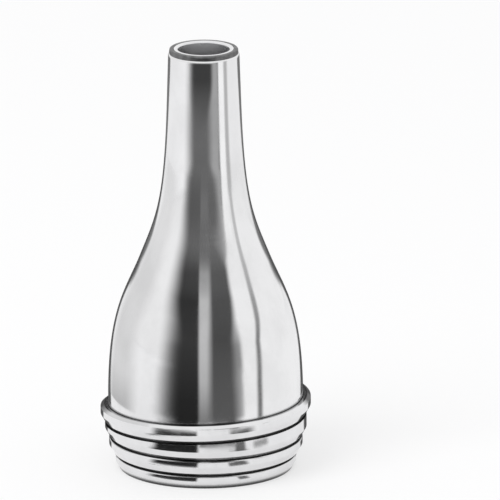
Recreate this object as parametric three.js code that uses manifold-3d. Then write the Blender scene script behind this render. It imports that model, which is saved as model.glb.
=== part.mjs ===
// Ear speculum: a spun metal funnel, a rounded ring soldered into its tip, and a stepped screw collar soldered
// round its mouth. Millimetres, +Z up along the axis. The origin is the centre of the mouth's flat rim, on
// which it stands, and -Y is the front.

import * as THREE from "three";
import { mergeVertices } from "three/addons/utils/BufferGeometryUtils.js";
import Module from "manifold-3d";

const wasm = await Module();
wasm.setup();

// Driving dimensions of the funnel
const WALL = 0.5;
const BELL_RADIUS = 8.37;
const WAIST_RADIUS = 5.61;
const THROAT_RADIUS = 3.17;
const TIP_RADIUS = 3.05;
const SKIRT_LENGTH = 0.6;
const SHOULDER_LENGTH = 12.44;
const THROAT_LENGTH = 14.06;
const NECK_LENGTH = 4.0;
const WAIST_ANGLE = THREE.MathUtils.degToRad(21.7);
const TIP_EDGE_WIDTH = 0.1;
const TIP_EDGE_HEIGHT = 0.28;

// How far each curve's handles reach, as shares of the height of the funnel's stretch that they shape
const SHOULDER_FOOT_SHARE = 0.627;
const SHOULDER_HEAD_SHARE = 0.27;
const THROAT_FOOT_SHARE = 0.28;
const THROAT_HEAD_SHARE = 0.655;

// The funnel's necked-in end, which the collar holds
const SPIGOT_STEP = 0.4;
const SOLDER_GAP = 0.05;

// The ring in the tip, and the bead of solder round it on the neck's cut end
const RING_WALL = 0.37;
const RING_SEAT_CUT = 0.08;
const RING_SEAT_DEPTH = 1.6;
const RING_STAND_OUT = 0.4;
const RING_OUTER_EDGE = 0.06;
const RING_BORE_EDGE = 0.16;
const BEAD_HEIGHT = 0.39;
const BEAD_EDGE_WIDTH = 0.1;
const BEAD_EDGE_DROP = 0.16;

// The collar, from the mouth upwards
const PILOT_HEIGHT = 1.14;
const PILOT_STEP = 0.53;
const MIDDLE_HEIGHT = 1.2;
const MIDDLE_STEP = 0.35;
const BAND_WALL = 0.64;
const THREAD_LAND = 0.83;
const COLLAR_LIP = 0.12;
const SEAT_FLOOR_RISE = 0.6;
const MOUTH_WALL = 0.9;
const MOUTH_CHAMFER = 0.1;
const GROOVE_WIDTH = 0.3;
const GROOVE_DEPTH = 0.3;
const RING_FOOT_WIDTH = 0.35;
const RING_FOOT_HEIGHT = 0.6;
const EDGE_ROUND = 0.12;

// The thread: one turn, right-handed, with a run-out at each end
const THREAD_PITCH = 1.56;
const THREAD_HEIGHT = 1.36;
const THREAD_DEPTH = 0.37;
const THREAD_BEVEL_WIDTH = 0.3;
const THREAD_BEVEL_DROP = 0.2;
const THREAD_MIDDLE = THREE.MathUtils.degToRad(-90);
const START_RUN_OUT = THREE.MathUtils.degToRad(30);
const END_RUN_OUT = THREE.MathUtils.degToRad(37.5);
const RUN_OUT_END_SHARE = 0.05;

// Facets
const SEGMENTS = 48;
const CURVE_STEPS = 11;
const EDGE_STEPS = 3;

// Sizes that follow
const QUARTER_TURN = Math.PI / 2;
const FULL_TURN = Math.PI * 2;

const spigotRadius = BELL_RADIUS - SPIGOT_STEP;
const seatRadius = spigotRadius + SOLDER_GAP;
const bandRadius = seatRadius + BAND_WALL;
const crestRadius = bandRadius + THREAD_DEPTH;
const middleRadius = bandRadius - MIDDLE_STEP;
const pilotRadius = middleRadius - PILOT_STEP;
const mouthRadius = pilotRadius - MOUTH_WALL;
const threadRootRadius = BELL_RADIUS + SOLDER_GAP;

const middleBottom = PILOT_HEIGHT + GROOVE_WIDTH;
const middleTop = middleBottom + MIDDLE_HEIGHT;
const bandBottom = middleTop + GROOVE_WIDTH;
const threadStart = bandBottom + THREAD_LAND;
const collarTop = threadStart + THREAD_PITCH + COLLAR_LIP;
const seatFloor = bandBottom + SEAT_FLOOR_RISE;

const bellBottom = collarTop + SOLDER_GAP;
const shoulderBottom = bellBottom + SKIRT_LENGTH;
const waistHeight = shoulderBottom + SHOULDER_LENGTH;
const throatTop = waistHeight + THROAT_LENGTH;
const neckTop = throatTop + NECK_LENGTH;

const ringSeatRadius = TIP_RADIUS - WALL + RING_SEAT_CUT;
const ringSpigotRadius = ringSeatRadius - SOLDER_GAP;
const ringBoreRadius = ringSpigotRadius - RING_WALL;
const ringTop = neckTop + RING_STAND_OUT;
const ringSeatBottom = neckTop - RING_SEAT_DEPTH;

// Finishes
const PLATED = { color: 0xd9dadc, roughness: 0.1, metalness: 1.0 };
const SOLDERED = { color: 0x616161, roughness: 0.45, metalness: 1.0 };

function point(radius, height) {
  return new THREE.Vector2(radius, height);
}

// The steep chamfer at the foot of a ring, from its inner end outwards and up
function foot(radius, height) {
  return [
    point(radius - RING_FOOT_WIDTH, height),
    point(radius, height + RING_FOOT_HEIGHT),
  ];
}

// The rounded outer edge on top of a ring or a tube, from its side inwards
function upperEdge(radius, height, width, drop) {
  const arc = new THREE.EllipseCurve(radius - width, height - drop, width, drop, 0, QUARTER_TURN);
  return arc.getPoints(EDGE_STEPS);
}

// A solid ring turned about the Z axis from a closed outline of radii and heights
function turned(outline) {
  const geometry = new THREE.LatheGeometry([...outline, outline[0]], SEGMENTS);
  geometry.rotateX(QUARTER_TURN);
  geometry.deleteAttribute("normal");
  geometry.deleteAttribute("uv");
  return geometry;
}

// The funnel's outer curve from the skirt to the neck, with the direction in which it runs at each point
function funnelCurve() {
  const waist = point(WAIST_RADIUS, waistHeight);
  const lean = point(-Math.sin(WAIST_ANGLE), Math.cos(WAIST_ANGLE));
  const throat = point(THROAT_RADIUS, throatTop);
  const neck = point(TIP_RADIUS - THROAT_RADIUS, NECK_LENGTH).normalize();
  const shoulder = new THREE.CubicBezierCurve(
    point(BELL_RADIUS, shoulderBottom),
    point(BELL_RADIUS, shoulderBottom + SHOULDER_LENGTH * SHOULDER_FOOT_SHARE),
    waist.clone().addScaledVector(lean, -SHOULDER_LENGTH * SHOULDER_HEAD_SHARE),
    waist,
  );
  const narrowing = new THREE.CubicBezierCurve(
    waist,
    waist.clone().addScaledVector(lean, THROAT_LENGTH * THROAT_FOOT_SHARE),
    throat.clone().addScaledVector(neck, -THROAT_LENGTH * THROAT_HEAD_SHARE),
    throat,
  );
  const samples = [];
  for (let i = 0; i <= CURVE_STEPS; i += 1) {
    samples.push([shoulder.getPoint(i / CURVE_STEPS), shoulder.getTangent(i / CURVE_STEPS)]);
  }
  for (let i = 1; i <= CURVE_STEPS; i += 1) {
    samples.push([narrowing.getPoint(i / CURVE_STEPS), narrowing.getTangent(i / CURVE_STEPS)]);
  }
  return samples;
}

// The funnel: bell, throat and neck in one wall, with a spigot below and a seat for the ring at the tip
function funnel() {
  const curve = funnelCurve();
  const outer = curve.map(([place]) => place);
  const inner = curve.map(([place, way]) => point(place.x - way.y * WALL, place.y + way.x * WALL));
  const spigotEnd = seatFloor + SOLDER_GAP;
  return turned([
    point(spigotRadius, spigotEnd),
    point(spigotRadius, bellBottom),
    point(BELL_RADIUS, bellBottom),
    ...outer,
    ...upperEdge(TIP_RADIUS, neckTop, TIP_EDGE_WIDTH, TIP_EDGE_HEIGHT),
    point(ringSeatRadius, neckTop),
    point(ringSeatRadius, ringSeatBottom),
    point(TIP_RADIUS - WALL, ringSeatBottom),
    ...inner.reverse(),
    point(spigotRadius - WALL, bellBottom),
    point(spigotRadius - WALL, spigotEnd),
  ]);
}

// The ring in the tip: a sleeve inside the neck that stands out of it, with a rounded end
function tipRing() {
  const boreEdge = new THREE.EllipseCurve(
    ringBoreRadius + RING_BORE_EDGE, ringTop - RING_BORE_EDGE,
    RING_BORE_EDGE, RING_BORE_EDGE, QUARTER_TURN, Math.PI,
  );
  return turned([
    point(ringBoreRadius, ringSeatBottom),
    point(ringSpigotRadius, ringSeatBottom),
    ...upperEdge(ringSpigotRadius, ringTop, RING_OUTER_EDGE, RING_OUTER_EDGE),
    ...boreEdge.getPoints(EDGE_STEPS),
  ]);
}

// The solder between the ring and the neck, up the sleeve and out in a bead over the neck's cut end
function tipSolder() {
  const beadRadius = TIP_RADIUS - TIP_EDGE_WIDTH;
  const beadTop = neckTop + BEAD_HEIGHT;
  return turned([
    point(ringSpigotRadius, ringSeatBottom),
    point(ringSeatRadius, ringSeatBottom),
    point(ringSeatRadius, neckTop),
    point(beadRadius, neckTop),
    ...upperEdge(beadRadius, beadTop, BEAD_EDGE_WIDTH, BEAD_EDGE_DROP),
    point(ringSpigotRadius, beadTop),
  ]);
}

// The solder between the collar and the funnel, up the spigot and out under the bell's step
function collarSolder() {
  const spigotEnd = seatFloor + SOLDER_GAP;
  return turned([
    point(spigotRadius, spigotEnd),
    point(seatRadius, spigotEnd),
    point(seatRadius, collarTop),
    point(BELL_RADIUS, collarTop),
    point(BELL_RADIUS, bellBottom),
    point(spigotRadius, bellBottom),
  ]);
}

// The collar's turned blank: pilot ring, middle ring and plain band, each with a chamfered foot and a fine groove
// above it, and inside them a bore that widens up to the funnel's seat
function collarBlank() {
  const boreTop = spigotRadius - WALL;
  return turned([
    point(mouthRadius + MOUTH_CHAMFER, 0),
    ...foot(pilotRadius, 0),
    ...upperEdge(pilotRadius, PILOT_HEIGHT, EDGE_ROUND, EDGE_ROUND),
    point(pilotRadius - GROOVE_DEPTH, PILOT_HEIGHT),
    point(pilotRadius - GROOVE_DEPTH, middleBottom),
    ...foot(middleRadius, middleBottom),
    ...upperEdge(middleRadius, middleTop, EDGE_ROUND, EDGE_ROUND),
    point(middleRadius - GROOVE_DEPTH, middleTop),
    point(middleRadius - GROOVE_DEPTH, bandBottom),
    ...foot(bandRadius, bandBottom),
    ...upperEdge(bandRadius, collarTop, EDGE_ROUND, EDGE_ROUND),
    point(seatRadius, collarTop),
    point(seatRadius, seatFloor),
    point(boreTop, seatFloor),
    point(mouthRadius, MOUTH_CHAMFER),
  ]);
}

// A closed bar swept along the thread's helix. section is its convex outline, as radii and heights above the
// helix, and shape(corner, share, nearEnd) moves one of its corners where only that share of the full section
// is left.
function helixBar(section, shape) {
  const first = THREAD_MIDDLE - Math.PI - START_RUN_OUT;
  const last = THREAD_MIDDLE + Math.PI + END_RUN_OUT;
  const count = Math.round((last - first) * SEGMENTS / FULL_TURN);
  const step = (last - first) / count;
  const vertices = [];
  for (let i = 0; i <= count; i += 1) {
    const angle = first + step * i;
    const fromStart = (angle - first) / START_RUN_OUT;
    const fromEnd = (last - angle) / END_RUN_OUT;
    const fullness = THREE.MathUtils.smoothstep(Math.min(fromStart, fromEnd), 0, 1);
    const share = RUN_OUT_END_SHARE + (1 - RUN_OUT_END_SHARE) * fullness;
    const turns = (angle - THREAD_MIDDLE + Math.PI) / FULL_TURN;
    const base = threadStart + THREAD_PITCH * turns;
    for (const corner of section) {
      const placed = shape(corner, share, fromEnd < fromStart);
      vertices.push(Math.cos(angle) * placed.x, Math.sin(angle) * placed.x, base + placed.y);
    }
  }
  const sides = section.length;
  const faces = [];
  for (let i = 0; i < count; i += 1) {
    for (let j = 0; j < sides; j += 1) {
      const here = i * sides + j;
      const next = i * sides + ((j + 1) % sides);
      faces.push(here, next + sides, next, here, here + sides, next + sides);
    }
  }
  for (let j = 1; j < sides - 1; j += 1) {
    const end = count * sides;
    faces.push(0, j, j + 1, end, end + j + 1, end + j);
  }
  const geometry = new THREE.BufferGeometry();
  geometry.setAttribute("position", new THREE.Float32BufferAttribute(vertices, 3));
  geometry.setIndex(faces);
  return geometry;
}

// The thread's ridge, which shrinks to nothing at both ends: its start sinks into the band, and its end, which
// stands above the band, comes down as well
function threadRidge() {
  const section = [
    point(threadRootRadius, 0),
    ...foot(crestRadius, 0),
    point(crestRadius, THREAD_HEIGHT - THREAD_BEVEL_DROP),
    point(crestRadius - THREAD_BEVEL_WIDTH, THREAD_HEIGHT),
    point(threadRootRadius, THREAD_HEIGHT),
  ];
  return helixBar(section, (corner, share, nearEnd) => point(
    threadRootRadius + (corner.x - threadRootRadius) * share,
    corner.y * (nearEnd ? share : 1),
  ));
}

// The fine groove that follows under the thread's ridge, shallower at both ends
function threadGroove() {
  const outside = crestRadius + GROOVE_DEPTH;
  const bottom = bandRadius - GROOVE_DEPTH;
  const clear = bandRadius + GROOVE_DEPTH;
  const section = [
    point(bottom, -GROOVE_WIDTH),
    point(outside, -GROOVE_WIDTH),
    point(outside, 0),
    point(bottom, 0),
  ];
  return helixBar(section, (corner, share) => point(
    corner.x === bottom ? clear + (bottom - clear) * share : corner.x,
    corner.y,
  ));
}

function solidOf(geometry) {
  const merged = mergeVertices(geometry);
  const mesh = new wasm.Mesh({
    numProp: 3,
    vertProperties: merged.attributes.position.array,
    triVerts: new Uint32Array(merged.index.array),
  });
  return new wasm.Manifold(mesh);
}

function geometryOf(solid) {
  const mesh = solid.getMesh();
  const geometry = new THREE.BufferGeometry();
  geometry.setAttribute("position", new THREE.Float32BufferAttribute(mesh.vertProperties, 3));
  geometry.setIndex([...mesh.triVerts]);
  return geometry;
}

function screwCollar() {
  const blank = solidOf(collarBlank());
  const threaded = blank.add(solidOf(threadRidge())).subtract(solidOf(threadGroove()));
  return geometryOf(threaded);
}

function part(name, geometry, finish) {
  const mesh = new THREE.Mesh(geometry, new THREE.MeshStandardMaterial(finish));
  mesh.name = name;
  mesh.geometry.computeVertexNormals();
  return mesh;
}

const speculum = new THREE.Group();
speculum.add(
  part("funnel", funnel(), PLATED),
  part("tip_ring", tipRing(), PLATED),
  part("tip_solder", tipSolder(), SOLDERED),
  part("screw_collar", screwCollar(), PLATED),
  part("collar_solder", collarSolder(), SOLDERED),
);

export default speculum;
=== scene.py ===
# Ear speculum: the looks. Every piece is turned or swept again with fine facets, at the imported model's sizes,
# and gets a polished plating or a dull solder. Metres, +Z up along the axis, the front towards -Y.
import math

import bmesh
import bpy
from mathutils import Matrix, Vector


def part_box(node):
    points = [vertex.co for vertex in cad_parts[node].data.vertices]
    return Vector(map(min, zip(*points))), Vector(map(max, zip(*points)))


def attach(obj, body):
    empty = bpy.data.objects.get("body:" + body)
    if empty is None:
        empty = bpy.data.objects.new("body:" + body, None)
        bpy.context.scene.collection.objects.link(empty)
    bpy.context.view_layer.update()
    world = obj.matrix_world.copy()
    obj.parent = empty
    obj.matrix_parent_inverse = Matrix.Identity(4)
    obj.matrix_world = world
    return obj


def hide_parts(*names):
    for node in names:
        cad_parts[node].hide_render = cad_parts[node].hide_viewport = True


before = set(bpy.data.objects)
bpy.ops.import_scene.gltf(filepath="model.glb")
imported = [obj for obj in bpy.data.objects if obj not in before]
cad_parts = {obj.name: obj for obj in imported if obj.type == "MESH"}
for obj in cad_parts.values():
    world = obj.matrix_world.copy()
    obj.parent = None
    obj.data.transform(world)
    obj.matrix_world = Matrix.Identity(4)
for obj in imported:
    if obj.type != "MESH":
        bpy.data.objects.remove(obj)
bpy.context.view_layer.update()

MM = 0.001
QUARTER_TURN = math.pi / 2
FULL_TURN = math.pi * 2

# Facets
SEGMENTS = 256
CURVE_STEPS = 64
EDGE_STEPS = 8
SHARP_ANGLE = math.radians(28)

# Sizes that the imported model gives
funnel_low, funnel_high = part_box("funnel")
ring_low, ring_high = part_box("tip_ring")
collar_low, collar_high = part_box("screw_collar")
solder_low, solder_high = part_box("collar_solder")
BELL_RADIUS = funnel_high.x
RING_SPIGOT_RADIUS = ring_high.x
CREST_RADIUS = collar_high.x
NECK_TOP = funnel_high.z
RING_TOP = ring_high.z
RING_SEAT_BOTTOM = ring_low.z
SPIGOT_END = funnel_low.z
BELL_BOTTOM = solder_high.z

# The funnel
WALL = 0.5 * MM
WAIST_RADIUS = 5.61 * MM
THROAT_RADIUS = 3.17 * MM
TIP_RADIUS = 3.05 * MM
SKIRT_LENGTH = 0.6 * MM
SHOULDER_LENGTH = 12.44 * MM
THROAT_LENGTH = 14.06 * MM
WAIST_ANGLE = math.radians(21.7)
TIP_EDGE_WIDTH = 0.1 * MM
TIP_EDGE_HEIGHT = 0.28 * MM
SHOULDER_FOOT_SHARE = 0.627
SHOULDER_HEAD_SHARE = 0.27
THROAT_FOOT_SHARE = 0.28
THROAT_HEAD_SHARE = 0.655
SPIGOT_STEP = 0.4 * MM
SOLDER_GAP = 0.05 * MM

# The ring in the tip, and the bead of solder round it
RING_WALL = 0.37 * MM
RING_OUTER_EDGE = 0.06 * MM
RING_BORE_EDGE = 0.16 * MM
BEAD_HEIGHT = 0.39 * MM
BEAD_EDGE_WIDTH = 0.1 * MM
BEAD_EDGE_DROP = 0.16 * MM

# The collar
PILOT_HEIGHT = 1.14 * MM
PILOT_STEP = 0.53 * MM
MIDDLE_HEIGHT = 1.2 * MM
MIDDLE_STEP = 0.35 * MM
BAND_WALL = 0.64 * MM
THREAD_LAND = 0.83 * MM
SEAT_FLOOR_RISE = 0.6 * MM
MOUTH_WALL = 0.9 * MM
MOUTH_CHAMFER = 0.1 * MM
GROOVE_WIDTH = 0.3 * MM
GROOVE_DEPTH = 0.3 * MM
RING_FOOT_WIDTH = 0.35 * MM
RING_FOOT_HEIGHT = 0.6 * MM
EDGE_ROUND = 0.12 * MM

# The collar's thread
THREAD_PITCH = 1.56 * MM
THREAD_HEIGHT = 1.36 * MM
THREAD_BEVEL_WIDTH = 0.3 * MM
THREAD_BEVEL_DROP = 0.2 * MM
THREAD_MIDDLE = math.radians(-90)
START_RUN_OUT = math.radians(30)
END_RUN_OUT = math.radians(37.5)
RUN_OUT_END_SHARE = 0.05

# Sizes that follow
SPIGOT_RADIUS = BELL_RADIUS - SPIGOT_STEP
SEAT_RADIUS = SPIGOT_RADIUS + SOLDER_GAP
BAND_RADIUS = SEAT_RADIUS + BAND_WALL
MIDDLE_RADIUS = BAND_RADIUS - MIDDLE_STEP
PILOT_RADIUS = MIDDLE_RADIUS - PILOT_STEP
MOUTH_RADIUS = PILOT_RADIUS - MOUTH_WALL
THREAD_ROOT_RADIUS = BELL_RADIUS + SOLDER_GAP
COLLAR_TOP = BELL_BOTTOM - SOLDER_GAP
MIDDLE_BOTTOM = PILOT_HEIGHT + GROOVE_WIDTH
MIDDLE_TOP = MIDDLE_BOTTOM + MIDDLE_HEIGHT
BAND_BOTTOM = MIDDLE_TOP + GROOVE_WIDTH
THREAD_START = BAND_BOTTOM + THREAD_LAND
SEAT_FLOOR = BAND_BOTTOM + SEAT_FLOOR_RISE
SHOULDER_BOTTOM = BELL_BOTTOM + SKIRT_LENGTH
WAIST_HEIGHT = SHOULDER_BOTTOM + SHOULDER_LENGTH
THROAT_TOP = WAIST_HEIGHT + THROAT_LENGTH
RING_SEAT_RADIUS = RING_SPIGOT_RADIUS + SOLDER_GAP
RING_BORE_RADIUS = RING_SPIGOT_RADIUS - RING_WALL
BEAD_RADIUS = TIP_RADIUS - TIP_EDGE_WIDTH
BEAD_TOP = NECK_TOP + BEAD_HEIGHT


# Outlines, as (radius, height) points that run up the outside and down the inside

def arc(centre, radii, start, end, steps):
    """Points of an ellipse's arc, both ends included"""
    points = []
    for step in range(steps + 1):
        angle = start + (end - start) * step / steps
        points.append((centre[0] + radii[0] * math.cos(angle), centre[1] + radii[1] * math.sin(angle)))
    return points


def foot(radius, height):
    """The steep chamfer at the foot of a ring of the collar, outwards and up"""
    return [(radius - RING_FOOT_WIDTH, height), (radius, height + RING_FOOT_HEIGHT)]


def upper_edge(radius, height, width, drop):
    """The rounded outer edge on top of a ring or a tube, from its side inwards"""
    return arc((radius - width, height - drop), (width, drop), 0, QUARTER_TURN, EDGE_STEPS)


def bezier(handles, steps):
    """Points of a cubic curve with the direction in which it runs at each"""
    a, b, c, d = handles
    samples = []
    for step in range(steps + 1):
        t = step / steps
        s = 1 - t
        place = a * s ** 3 + b * (3 * s * s * t) + c * (3 * s * t * t) + d * t ** 3
        way = (b - a) * (s * s) + (c - b) * (2 * s * t) + (d - c) * (t * t)
        samples.append((place, way.normalized()))
    return samples


def funnel_curve():
    """The funnel's outer curve from the skirt to the neck"""
    waist = Vector((WAIST_RADIUS, WAIST_HEIGHT))
    lean = Vector((-math.sin(WAIST_ANGLE), math.cos(WAIST_ANGLE)))
    throat = Vector((THROAT_RADIUS, THROAT_TOP))
    neck = Vector((TIP_RADIUS - THROAT_RADIUS, NECK_TOP - THROAT_TOP)).normalized()
    skirt_top = Vector((BELL_RADIUS, SHOULDER_BOTTOM))
    foot_handle = Vector((BELL_RADIUS, SHOULDER_BOTTOM + SHOULDER_LENGTH * SHOULDER_FOOT_SHARE))
    head_handle = waist - lean * (SHOULDER_LENGTH * SHOULDER_HEAD_SHARE)
    shoulder = bezier((skirt_top, foot_handle, head_handle, waist), CURVE_STEPS)
    waist_handle = waist + lean * (THROAT_LENGTH * THROAT_FOOT_SHARE)
    neck_handle = throat - neck * (THROAT_LENGTH * THROAT_HEAD_SHARE)
    narrowing = bezier((waist, waist_handle, neck_handle, throat), CURVE_STEPS)
    return shoulder + narrowing[1:]


def funnel_outline():
    curve = funnel_curve()
    outer = [(place.x, place.y) for place, way in curve]
    inner = [(place.x - way.y * WALL, place.y + way.x * WALL) for place, way in curve]
    return [
        (SPIGOT_RADIUS, SPIGOT_END),
        (SPIGOT_RADIUS, BELL_BOTTOM),
        (BELL_RADIUS, BELL_BOTTOM),
        *outer,
        *upper_edge(TIP_RADIUS, NECK_TOP, TIP_EDGE_WIDTH, TIP_EDGE_HEIGHT),
        (RING_SEAT_RADIUS, NECK_TOP),
        (RING_SEAT_RADIUS, RING_SEAT_BOTTOM),
        (TIP_RADIUS - WALL, RING_SEAT_BOTTOM),
        *reversed(inner),
        (SPIGOT_RADIUS - WALL, BELL_BOTTOM),
        (SPIGOT_RADIUS - WALL, SPIGOT_END),
    ]


def ring_outline():
    bore_centre = (RING_BORE_RADIUS + RING_BORE_EDGE, RING_TOP - RING_BORE_EDGE)
    return [
        (RING_BORE_RADIUS, RING_SEAT_BOTTOM),
        (RING_SPIGOT_RADIUS, RING_SEAT_BOTTOM),
        *upper_edge(RING_SPIGOT_RADIUS, RING_TOP, RING_OUTER_EDGE, RING_OUTER_EDGE),
        *arc(bore_centre, (RING_BORE_EDGE, RING_BORE_EDGE), QUARTER_TURN, math.pi, EDGE_STEPS),
    ]


def tip_solder_outline():
    return [
        (RING_SPIGOT_RADIUS, RING_SEAT_BOTTOM),
        (RING_SEAT_RADIUS, RING_SEAT_BOTTOM),
        (RING_SEAT_RADIUS, NECK_TOP),
        (BEAD_RADIUS, NECK_TOP),
        *upper_edge(BEAD_RADIUS, BEAD_TOP, BEAD_EDGE_WIDTH, BEAD_EDGE_DROP),
        (RING_SPIGOT_RADIUS, BEAD_TOP),
    ]


def collar_solder_outline():
    return [
        (SPIGOT_RADIUS, SPIGOT_END),
        (SEAT_RADIUS, SPIGOT_END),
        (SEAT_RADIUS, COLLAR_TOP),
        (BELL_RADIUS, COLLAR_TOP),
        (BELL_RADIUS, BELL_BOTTOM),
        (SPIGOT_RADIUS, BELL_BOTTOM),
    ]


def collar_outline():
    return [
        (MOUTH_RADIUS + MOUTH_CHAMFER, 0),
        *foot(PILOT_RADIUS, 0),
        *upper_edge(PILOT_RADIUS, PILOT_HEIGHT, EDGE_ROUND, EDGE_ROUND),
        (PILOT_RADIUS - GROOVE_DEPTH, PILOT_HEIGHT),
        (PILOT_RADIUS - GROOVE_DEPTH, MIDDLE_BOTTOM),
        *foot(MIDDLE_RADIUS, MIDDLE_BOTTOM),
        *upper_edge(MIDDLE_RADIUS, MIDDLE_TOP, EDGE_ROUND, EDGE_ROUND),
        (MIDDLE_RADIUS - GROOVE_DEPTH, MIDDLE_TOP),
        (MIDDLE_RADIUS - GROOVE_DEPTH, BAND_BOTTOM),
        *foot(BAND_RADIUS, BAND_BOTTOM),
        *upper_edge(BAND_RADIUS, COLLAR_TOP, EDGE_ROUND, EDGE_ROUND),
        (SEAT_RADIUS, COLLAR_TOP),
        (SEAT_RADIUS, SEAT_FLOOR),
        (SPIGOT_RADIUS - WALL, SEAT_FLOOR),
        (MOUTH_RADIUS, MOUTH_CHAMFER),
    ]


# Meshes

def grid_mesh(name, rings, closed):
    """A mesh through rings of points. A closed one runs round to its first ring, an open one has end caps."""
    made = bmesh.new()
    corners = [[made.verts.new(place) for place in ring] for ring in rings]
    sides = len(rings[0])
    last = len(rings) if closed else len(rings) - 1
    for i in range(last):
        here = corners[i]
        there = corners[(i + 1) % len(rings)]
        for j in range(sides):
            k = (j + 1) % sides
            made.faces.new((here[j], there[j], there[k], here[k]))
    if not closed:
        made.faces.new(corners[0])
        made.faces.new(reversed(corners[-1]))
    bmesh.ops.recalc_face_normals(made, faces=made.faces)
    mesh = bpy.data.meshes.new(name)
    made.to_mesh(mesh)
    made.free()
    return mesh


def lathe(name, outline):
    """A closed ring turned about the Z axis"""
    rings = []
    for step in range(SEGMENTS):
        angle = FULL_TURN * step / SEGMENTS
        rings.append([(r * math.cos(angle), r * math.sin(angle), z) for r, z in outline])
    return grid_mesh(name, rings, True)


def helix_bar(name, section, shape):
    """A bar swept along the thread's helix. shape(corner, share, near_end) moves a section's point where only
    that share of the full section is left."""
    first = THREAD_MIDDLE - math.pi - START_RUN_OUT
    last = THREAD_MIDDLE + math.pi + END_RUN_OUT
    count = round((last - first) * SEGMENTS / FULL_TURN)
    rings = []
    for step in range(count + 1):
        angle = first + (last - first) * step / count
        from_start = (angle - first) / START_RUN_OUT
        from_end = (last - angle) / END_RUN_OUT
        t = min(from_start, from_end, 1)
        share = RUN_OUT_END_SHARE + (1 - RUN_OUT_END_SHARE) * t * t * (3 - 2 * t)
        turns = (angle - THREAD_MIDDLE + math.pi) / FULL_TURN
        base = THREAD_START + THREAD_PITCH * turns
        ring = []
        for corner in section:
            radius, height = shape(corner, share, from_end < from_start)
            ring.append((radius * math.cos(angle), radius * math.sin(angle), base + height))
        rings.append(ring)
    return grid_mesh(name, rings, False)


def thread_ridge():
    section = [
        (THREAD_ROOT_RADIUS, 0),
        *foot(CREST_RADIUS, 0),
        (CREST_RADIUS, THREAD_HEIGHT - THREAD_BEVEL_DROP),
        (CREST_RADIUS - THREAD_BEVEL_WIDTH, THREAD_HEIGHT),
        (THREAD_ROOT_RADIUS, THREAD_HEIGHT),
    ]

    def shape(corner, share, near_end):
        radius = THREAD_ROOT_RADIUS + (corner[0] - THREAD_ROOT_RADIUS) * share
        return radius, corner[1] * (share if near_end else 1)

    return helix_bar("thread_ridge", section, shape)


def thread_groove():
    outside = CREST_RADIUS + GROOVE_DEPTH
    bottom = BAND_RADIUS - GROOVE_DEPTH
    clear = BAND_RADIUS + GROOVE_DEPTH
    section = [(bottom, -GROOVE_WIDTH), (outside, -GROOVE_WIDTH), (outside, 0), (bottom, 0)]

    def shape(corner, share, near_end):
        if corner[0] == bottom:
            return clear + (bottom - clear) * share, corner[1]
        return corner

    return helix_bar("thread_groove", section, shape)


def add_object(name, mesh):
    made = bpy.data.objects.new(name, mesh)
    bpy.context.scene.collection.objects.link(made)
    return made


def smooth(mesh):
    """Smooth faces that stay crisp where two of them meet at more than SHARP_ANGLE"""
    edit = bmesh.new()
    edit.from_mesh(mesh)
    for face in edit.faces:
        face.smooth = True
    for edge in edit.edges:
        edge.smooth = edge.calc_face_angle(0) < SHARP_ANGLE
    edit.to_mesh(mesh)
    edit.free()


def collar_mesh():
    """The turned blank with its thread added and the fine groove under the thread cut away"""
    blank = add_object("collar_blank", lathe("collar_blank", collar_outline()))
    tools = []
    for operation, mesh in (("UNION", thread_ridge()), ("DIFFERENCE", thread_groove())):
        tool = add_object(mesh.name, mesh)
        cut = blank.modifiers.new(operation.lower(), "BOOLEAN")
        cut.operation = operation
        cut.solver = "MANIFOLD"
        cut.object = tool
        tools.append(tool)
    bpy.context.view_layer.update()
    depsgraph = bpy.context.evaluated_depsgraph_get()
    mesh = bpy.data.meshes.new_from_object(blank.evaluated_get(depsgraph))
    for spent in (blank, *tools):
        bpy.data.objects.remove(spent)
    return mesh


def piece(name, mesh, node, material):
    """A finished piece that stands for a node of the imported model"""
    smooth(mesh)
    mesh.materials.clear()
    mesh.materials.append(material)
    made = add_object(name, mesh)
    weighted = made.modifiers.new("even_shading", "WEIGHTED_NORMAL")
    weighted.keep_sharp = True
    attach(made, "root")
    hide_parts(node)
    return made


# Materials: shades are the metals' brightness, and the rest are roughnesses
WORN_SHADE = 0.93
# Painted shade: the grey that the plating's colour is darkened towards in crevices
PAINTED_SHADE_LEVEL = 0.06
SMUDGE_HAZE = 0.06
LINE_HAZE = 0.03
SCRATCH_HAZE = 0.12
CREVICE_HAZE = 0.3
INSIDE_HAZE = 0.18
SOLDER_SHADES = (0.2, 0.12)
SOLDER_ROUGHNESS = (0.32, 0.5)


def add(tree, kind, inputs=(), **settings):
    """A new node with its settings, and with inputs that are values or other nodes' outputs"""
    made = tree.nodes.new(kind)
    for key, value in settings.items():
        setattr(made, key, value)
    for socket, value in dict(inputs).items():
        if isinstance(value, bpy.types.NodeSocket):
            tree.links.new(value, made.inputs[socket])
        else:
            made.inputs[socket].default_value = value
    return made


def new_tree(owner):
    owner.use_nodes = True
    owner.node_tree.nodes.clear()
    return owner.node_tree


def maths(tree, operation, a, b=0.0):
    return add(tree, "ShaderNodeMath", {0: a, 1: b}, operation=operation).outputs[0]


def remap(tree, value, low, high, to_low, to_high):
    inputs = {"Value": value, "From Min": low, "From Max": high, "To Min": to_low, "To Max": to_high}
    return add(tree, "ShaderNodeMapRange", inputs, interpolation_type="SMOOTHSTEP").outputs["Result"]


def noise(tree, place, scale, detail, roughness=0.5):
    """Noise at so many lumps a millimetre along each axis"""
    scaled = add(tree, "ShaderNodeVectorMath", {0: place, 1: scale}, operation="MULTIPLY").outputs[0]
    inputs = {"Vector": scaled, "Scale": 1.0, "Detail": detail, "Roughness": roughness}
    return add(tree, "ShaderNodeTexNoise", inputs).outputs["Fac"]


def blend(tree, factor, a, b):
    inputs = {"Factor": factor, "A": a, "B": b}
    return add(tree, "ShaderNodeMix", inputs, data_type="RGBA").outputs["Result"]


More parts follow.
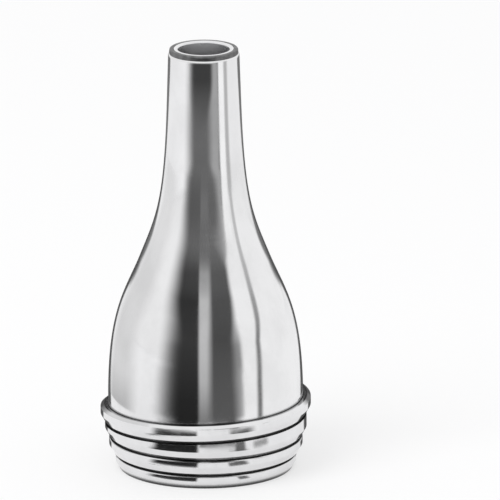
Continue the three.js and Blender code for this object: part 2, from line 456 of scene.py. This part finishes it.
def grey(level):
    return (level, level, level * 1.01, 1.0)


def millimetres(tree):
    place = add(tree, "ShaderNodeTexCoord").outputs["Object"]
    return add(tree, "ShaderNodeVectorMath", {0: place, "Scale": 1 / MM}, operation="SCALE").outputs[0]


def outwards(tree, place):
    """1 where a face looks straight away from the axis, -1 where it looks straight at it"""
    flat = add(tree, "ShaderNodeVectorMath", {0: place, 1: (1.0, 1.0, 0.0)}, operation="MULTIPLY").outputs[0]
    away = add(tree, "ShaderNodeVectorMath", {0: flat}, operation="NORMALIZE").outputs[0]
    facing = add(tree, "ShaderNodeNewGeometry").outputs["Normal"]
    return add(tree, "ShaderNodeVectorMath", {0: facing, 1: away}, operation="DOT_PRODUCT").outputs["Value"]


def plating(name, shade, gloss, reach):
    """Polished plating with round polishing lines, wiped smudges, hair scratches and painted shade. gloss is
    its least roughness, and the painted shade darkens the colour and raises the roughness out to reach
    millimetres from every crevice. The insides, which face the axis, are left as spun and stay dull."""
    material = bpy.data.materials.new(name)
    tree = new_tree(material)
    place = millimetres(tree)

    lines = noise(tree, place, (0.5, 0.5, 9.0), 3.0)
    smudges = noise(tree, place, (0.3, 0.3, 0.22), 4.0, 0.6)
    waves = noise(tree, place, (1.1, 1.1, 2.6), 1.5)
    hairs = remap(tree, maths(tree, "ABSOLUTE", maths(tree, "SUBTRACT", waves, 0.5)), 0.0, 0.006, 1.0, 0.0)
    where = remap(tree, noise(tree, place, (0.45, 0.45, 0.45), 2.0), 0.54, 0.66, 0.0, 1.0)
    scratches = maths(tree, "MULTIPLY", hairs, where)

    # Painted shade: ambient occlusion darkens the colour and raises the roughness in crevices and joints
    occlusion = add(tree, "ShaderNodeAmbientOcclusion", {"Distance": reach * MM}, samples=8).outputs["AO"]
    painted_crevice_shade = remap(tree, occlusion, 0.42, 0.92, 1.0, 0.0)
    inside = remap(tree, outwards(tree, place), -0.9, -0.4, 1.0, 0.0)

    unshaded = blend(tree, remap(tree, smudges, 0.35, 0.7, 0.0, 1.0), grey(shade), grey(shade * WORN_SHADE))
    colour = blend(tree, painted_crevice_shade, unshaded, grey(PAINTED_SHADE_LEVEL))
    wiped = remap(tree, smudges, 0.3, 0.75, gloss, gloss + SMUDGE_HAZE)
    brushed = maths(tree, "ADD", wiped, remap(tree, lines, 0.3, 0.7, 0.0, LINE_HAZE))
    worn = maths(tree, "ADD", brushed, maths(tree, "MULTIPLY", scratches, SCRATCH_HAZE))
    crevice_roughened = maths(tree, "ADD", worn, maths(tree, "MULTIPLY", painted_crevice_shade, CREVICE_HAZE))
    roughness = maths(tree, "ADD", crevice_roughened, maths(tree, "MULTIPLY", inside, INSIDE_HAZE))

    relief = maths(tree, "SUBTRACT", maths(tree, "MULTIPLY", lines, 0.5), scratches)
    bump = add(tree, "ShaderNodeBump", {"Height": relief, "Strength": 0.25, "Distance": 0.0006 * MM})
    shader = add(tree, "ShaderNodeBsdfPrincipled", {
        "Base Color": colour, "Metallic": 1.0, "Roughness": roughness, "Normal": bump.outputs["Normal"],
    })
    add(tree, "ShaderNodeOutputMaterial", {"Surface": shader.outputs[0]})
    return material


def solder():
    """Old soft solder: dull, slightly lumpy and gone dark"""
    material = bpy.data.materials.new("solder")
    tree = new_tree(material)
    place = millimetres(tree)
    lumps = noise(tree, place, (2.2, 2.2, 2.2), 4.0, 0.55)
    grains = noise(tree, place, (11.0, 11.0, 11.0), 2.0)
    light, dark = SOLDER_SHADES
    colour = blend(tree, remap(tree, lumps, 0.3, 0.7, 0.0, 1.0), grey(light), grey(dark))
    roughness = remap(tree, grains, 0.3, 0.7, *SOLDER_ROUGHNESS)
    bump = add(tree, "ShaderNodeBump", {"Height": lumps, "Strength": 0.5, "Distance": 0.02 * MM})
    shader = add(tree, "ShaderNodeBsdfPrincipled", {
        "Base Color": colour, "Metallic": 1.0, "Roughness": roughness, "Normal": bump.outputs["Normal"],
    })
    add(tree, "ShaderNodeOutputMaterial", {"Surface": shader.outputs[0]})
    return material


# The studio, with the cards' sizes in millimetres
FLOOR_REACH = 2.5
CARD_STEPS = 48
FAR_CARD_FADE = 40
FAR_CARD_TOP = 110
NEAR_CARD_BOTTOM = 3.98
ZONE_HEIGHT = 0.02


def background_ray(tree):
    """1 for the rays that see the background: the camera's, and what metal and glass pass on"""
    rays = add(tree, "ShaderNodeLightPath").outputs
    seen = maths(tree, "MAXIMUM", rays["Is Camera Ray"], rays["Is Glossy Ray"])
    return maths(tree, "MAXIMUM", seen, rays["Is Transmission Ray"])


def white_world():
    world = bpy.data.worlds.new("studio")
    bpy.context.scene.world = world
    tree = new_tree(world)
    light = add(tree, "ShaderNodeBackground", {"Color": grey(1.0), "Strength": 0.8})
    backdrop = add(tree, "ShaderNodeBackground", {"Color": (1, 1, 1, 1), "Strength": 1.0})
    mixed = add(tree, "ShaderNodeMixShader", {
        0: background_ray(tree), 1: light.outputs[0], 2: backdrop.outputs[0],
    })
    add(tree, "ShaderNodeOutputWorld", {"Surface": mixed.outputs[0]})


def pale_floor():
    """A wide pale floor that is clear from below, so that the mouth can be looked into"""
    mesh = bpy.data.meshes.new("floor")
    far = FLOOR_REACH
    corners = [(-far, -far, 0), (far, -far, 0), (far, far, 0), (-far, far, 0)]
    mesh.from_pydata(corners, [], [(0, 1, 2, 3)])
    floor = add_object("floor", mesh)
    material = bpy.data.materials.new("floor")
    tree = new_tree(material)
    lit = add(tree, "ShaderNodeBsdfDiffuse", {"Color": (0.94, 0.94, 0.94, 1)})
    white = add(tree, "ShaderNodeEmission", {"Color": (1, 1, 1, 1), "Strength": 1.0})
    lift = maths(tree, "MULTIPLY", background_ray(tree), 0.6)
    top = add(tree, "ShaderNodeMixShader", {0: lift, 1: lit.outputs[0], 2: white.outputs[0]})
    clear = add(tree, "ShaderNodeBsdfTransparent")
    underside = add(tree, "ShaderNodeNewGeometry").outputs["Backfacing"]
    both = add(tree, "ShaderNodeMixShader", {0: underside, 1: top.outputs[0], 2: clear.outputs[0]})
    add(tree, "ShaderNodeOutputMaterial", {"Surface": both.outputs[0]})
    mesh.materials.append(material)


def soft_lamp(name, place, size, power):
    light = bpy.data.lights.new(name, "AREA")
    light.shape = "DISK"
    light.size = size
    light.energy = power
    lamp = add_object(name, light)
    lamp.location = place
    lamp.rotation_mode = "QUATERNION"
    lamp.rotation_quaternion = (-Vector(place)).to_track_quat("-Z", "Y")
    lamp.visible_camera = False
    lamp.visible_glossy = False


def card(name, stations, feathers):
    """A card that only reflections show. stations are its sections, from the axis outwards or from the top
    down, each (radius, height, first side, last side, brightness): millimetres, and degrees from the front
    towards +X. feathers are the widths in degrees of the soft borders along its two sides. A sixth number in
    a station is how many times as wide the last side's border is there."""
    vertices = []
    values = {"from_first": [], "from_last": [], "level": []}
    for step in range(CARD_STEPS + 1):
        for radius, height, first, last, level, *spread in stations:
            azimuth = first + (last - first) * step / CARD_STEPS
            side = math.radians(azimuth)
            vertices.append((math.sin(side) * radius * MM, -math.cos(side) * radius * MM, height * MM))
            values["from_first"].append(azimuth - first)
            values["from_last"].append((last - azimuth) / (spread[0] if spread else 1))
            values["level"].append(level)
    width = len(stations)
    faces = []
    for step in range(CARD_STEPS):
        for index in range(width - 1):
            a = step * width + index
            faces.append((a, a + 1, a + width + 1, a + width))
    mesh = bpy.data.meshes.new(name)
    mesh.from_pydata(vertices, [], faces)

    material = bpy.data.materials.new(name)
    tree = new_tree(material)
    read = {}
    for label, numbers in values.items():
        mesh.attributes.new(label, "FLOAT", "POINT").data.foreach_set("value", numbers)
        read[label] = add(tree, "ShaderNodeAttribute", attribute_name=label).outputs["Fac"]
    rising = remap(tree, read["from_first"], 0.0, feathers[0], 0.0, 1.0)
    falling = remap(tree, read["from_last"], 0.0, feathers[1], 0.0, 1.0)
    mask = maths(tree, "MULTIPLY", rising, falling)
    shade = add(tree, "ShaderNodeEmission", {"Color": (1, 1, 1, 1), "Strength": read["level"]})
    clear = add(tree, "ShaderNodeBsdfTransparent")
    mixed = add(tree, "ShaderNodeMixShader", {0: mask, 1: clear.outputs[0], 2: shade.outputs[0]})
    add(tree, "ShaderNodeOutputMaterial", {"Surface": mixed.outputs[0]})
    mesh.materials.append(material)

    made = add_object(name, mesh)
    for ray in ("camera", "diffuse", "shadow", "transmission", "volume_scatter"):
        setattr(made, "visible_" + ray, False)


def far_card(name, radius, shades, feathers):
    """A card that runs out along the floor and then stands up, fading to white at its top. shades are
    (radius, first side, last side, brightness) along the floor. A nearer card lies higher there."""
    floor = 0.3 - radius / 1000
    along = [(place, floor, *rest) for place, *rest in shades]
    first, last, level = shades[-1][1:]
    card(name, [
        *along,
        (radius, floor, first, last, level),
        (radius, FAR_CARD_FADE, first, last, level),
        (radius, FAR_CARD_TOP, first, last, 1.0),
    ], feathers)


def near_card(name, radius, rows, feathers):
    """An upright card close to the speculum. rows are a card's stations without their radius."""
    card(name, [(radius, *row) for row in rows], feathers)


def zone(name, rings, sides, feathers, height=ZONE_HEIGHT):
    """A card on the floor close to the collar, with its brightness at each (radius, brightness) of rings"""
    card("zone_" + name, [(radius, height, *sides, level) for radius, level in rings], feathers)


def neck_cards():
    """The neck reflects the far cards, and near its tip a darker one that stands close by"""
    far_card("card_front", 250, (
        (31, -65, 45, 0.17), (110, -65, 46, 0.17), (150, -65, 50, 0.17), (175, -65, 50, 0.17),
        (230, -62, 50, 0.155),
    ), (37, 8))
    far_card("card_front_edge", 245, (
        (31, 5, 46, 0.5), (110, 5, 46, 0.46), (150, 5, 49, 0.42), (165, 5, 49, 0.42), (240, 5, 46, 0.42),
    ), (25, 9))
    far_card("card_white", 240, ((31, 45, 66, 1.08),), (5, 5))
    far_card("card_line", 250, ((31, 61, 82, 0.54),), (8, 8))
    near_card("tip_dark", 15, (
        (35, -46, 30, 0.055), (32.5, -46, 30, 0.055), (31.6, -45, 28, 0.08), (30.8, -43, 24, 0.1),
        (29.7, -39, 17, 0.125), (28.4, -34, 8, 0.16), (27.4, -30, 3, 0.17),
    ), (22, 14))


def bell_cards():
    """The throat and the bell reflect the near cards: two dark ones with a pale strip between them, a grey
    border and a thin line to the right, and white ones to both sides"""
    bottom = NEAR_CARD_BOTTOM
    near_card("near_back", 15.5, ((26.2, -16, 14, 0.155), (bottom, -14, 12, 0.155)), (5, 5))
    near_card("near_edge", 15.3, (
        (26.3, 5, 36, 0.42), (25.6, 5, 46, 0.42), (25.1, 5, 44, 0.42), (24.8, 5, 42, 0.42),
        (24.4, 5, 39, 0.42), (23.6, 5, 36, 0.42),
    ), (25, 9))
    near_card("near_dark_left", 15, (
        (26.3, -36, -8, 0.17), (25.9, -44, -8, 0.16), (25.5, -55, -8, 0.14), (24.8, -56, -8, 0.11),
        (24.2, -57, -8, 0.085), (23.3, -57, -7.8, 0.06), (21.7, -57, -7, 0.036), (18, -51, -6.5, 0.042),
        (14.6, -47, -6, 0.045), (9, -48, -5.5, 0.03), (6.5, -49, -5.3, 0.022), (bottom, -50, -5.2, 0.02),
    ), (28, 2))
    near_card("near_dark_right", 15, (
        (26.3, 6, 20, 0.17, 1.6), (25.9, 6, 28, 0.165, 2.2), (25.5, 7, 37, 0.155, 2.5),
        (24.8, 8, 39, 0.14, 2.2), (24.2, 8, 40, 0.13, 1.8), (23.3, 7.8, 38, 0.11), (21.7, 7, 38, 0.09),
        (18, 6.5, 36, 0.085, 1.2), (14.6, 6, 34, 0.077, 1.5), (9, 5.5, 34, 0.1, 1.6),
        (bottom, 5.2, 36, 0.115, 1.6),
    ), (2, 8))
    near_card("near_strip", 14.9, (
        (26.2, -10, 10, 0.165), (25.2, -10, 10, 0.16), (24.8, -10, 10.5, 0.2), (24.3, -10, 10.5, 0.27),
        (23.4, -9.5, 10.5, 0.4), (21.8, -8.7, 9.5, 0.58), (18.3, -7.8, 8.5, 0.62), (14.6, -7.3, 7.5, 0.62),
        (9, -6.8, 7, 0.52), (6.7, -6.6, 6.8, 0.4), (bottom, -6.5, 6.6, 0.2),
    ), (3, 7))
    near_card("near_line", 14.8, (
        (24.5, 58, 69, 0.6), (22, 58, 69, 0.5), (20, 56, 67, 0.38), (16.6, 52.5, 62.5, 0.32),
        (13.4, 47.5, 56.5, 0.24), (8, 45, 54, 0.2), (bottom, 45, 54, 0.2),
    ), (4, 4))
    near_card("near_left", 15, (
        (25, -128, -62, 0.9), (18, -128, -62, 0.82), (8, -128, -62, 0.8), (bottom, -128, -62, 0.55),
    ), (18, 24))
    near_card("near_white", 15.2, ((24.5, 30, 118, 1.0), (bottom, 30, 118, 1.02)), (8, 20))


def collar_zones():
    """The dark patches in the collar's rings. Each ring reflects a strip of the floor at a distance of its
    own, the nearest for the pilot and the farthest for the thread."""
    zone("pilot_left", ((10.27, 0.3), (10.6, 0.12), (11, 0.03), (14.8, 0.02)), (-56, -6), (12, 3))
    zone("middle_left", (
        (15.6, 0.6), (16.2, 0.25), (16.9, 0.07), (17.6, 0.02), (20.6, 0.02),
    ), (-58, -6), (12, 3))
    zone("band_left", ((20.5, 0.06), (20.9, 0.018), (24, 0.018)), (-54, -5), (9, 4))
    zone("thread_left", ((24.4, 0.01), (27, 0.01), (27.4, 0.1), (27.9, 0.4)), (-54, -6.5), (10, 3))
    zone("pilot_right", ((10.3, 0.45), (10.8, 0.2), (12.6, 0.12)), (26, 39), (3, 5))
    zone("middle_right", ((16, 0.45), (16.5, 0.16), (20.5, 0.14)), (19.5, 42), (3, 6))
    zone("band_right", ((20.5, 0.18), (22, 0.16), (23.9, 0.1)), (25, 39), (4, 4))
    zone("band_far_right", ((20.5, 0.35), (22.6, 0.4)), (43, 64), (5, 6))
    zone("band_front", ((22.1, 0.6), (22.5, 0.25), (22.8, 0.04), (24, 0.02)), (-7, 28), (2, 2), 0.03)
    zone("thread_right", ((24.4, 0.13), (27.3, 0.13), (28, 0.35)), (20, 50), (5, 12))


def back_cards():
    """The outlines reflect the wide card, and the collar's flat top the darker middle one"""
    outline = (
        (9.4, 0, 100, 0.1), (14, 0, 115, 0.1), (22.5, 0, 127, 0.1), (39, 0, 140, 0.1), (60, 0, 147, 0.1),
        (60, 8, 148, 0.1), (60, 12, 146, 0.1), (60, 15, 140, 0.2), (60, 21, 131, 0.2), (60, 24, 131, 0.2),
        (60, 34, 134, 1.0),
    )
    card("back", [
        (radius, height + ZONE_HEIGHT, side, 360 - side, level) for radius, height, side, level in outline
    ], (5, 5))
    near_card("back_middle", 59, (
        (8, 160, 200, 0.1), (20, 160, 200, 0.04), (30, 160, 200, 0.04), (46, 164, 196, 1.0),
    ), (12, 12))


# The camera, set by where the speculum lies in the 500 pixel square photograph
IMAGE_SIZE = 500
PIXELS_PER_MM = 11.634
ELEVATION = math.radians(15.6)
ROLL = math.radians(0.28)
LENS = 1200.0
SENSOR = 36.0
BASE_PIXEL = (206.05, 464.1)


def long_camera():
    data = bpy.data.cameras.new("camera")
    data.lens = LENS
    data.sensor_width = SENSOR
    camera = add_object("camera", data)
    pixel = MM / PIXELS_PER_MM
    distance = IMAGE_SIZE * pixel * LENS / SENSOR
    back = Vector((0, -math.cos(ELEVATION), math.sin(ELEVATION)))
    turned = back.to_track_quat("Z", "Y") @ Matrix.Rotation(-ROLL, 3, "Z").to_quaternion()
    across = turned @ Vector((1, 0, 0))
    upwards = turned @ Vector((0, 1, 0))
    middle = IMAGE_SIZE / 2
    target = across * ((middle - BASE_PIXEL[0]) * pixel) + upwards * ((BASE_PIXEL[1] - middle) * pixel)
    camera.location = target + back * distance
    camera.rotation_mode = "QUATERNION"
    camera.rotation_quaternion = turned
    bpy.context.scene.camera = camera


long_camera()

funnel_plating = plating("funnel_plating", shade=0.82, gloss=0.05, reach=0.35)
ring_plating = plating("ring_plating", shade=0.82, gloss=0.06, reach=0.35)
collar_plating = plating("collar_plating", shade=0.80, gloss=0.035, reach=0.5)
soft_solder = solder()

piece("funnel_shell", lathe("funnel_shell", funnel_outline()), "funnel", funnel_plating)
piece("rounded_ring", lathe("rounded_ring", ring_outline()), "tip_ring", ring_plating)
piece("threaded_collar", collar_mesh(), "screw_collar", collar_plating)
piece("tip_solder_film", lathe("tip_solder_film", tip_solder_outline()), "tip_solder", soft_solder)
collar_film = lathe("collar_solder_film", collar_solder_outline())
piece("collar_solder_film", collar_film, "collar_solder", soft_solder)

white_world()
pale_floor()
soft_lamp("key_lamp", place=(-0.35, -0.35, 0.6), size=0.5, power=2.2)
neck_cards()
bell_cards()
collar_zones()
back_cards()

bpy.context.scene.view_settings.view_transform = "Standard"
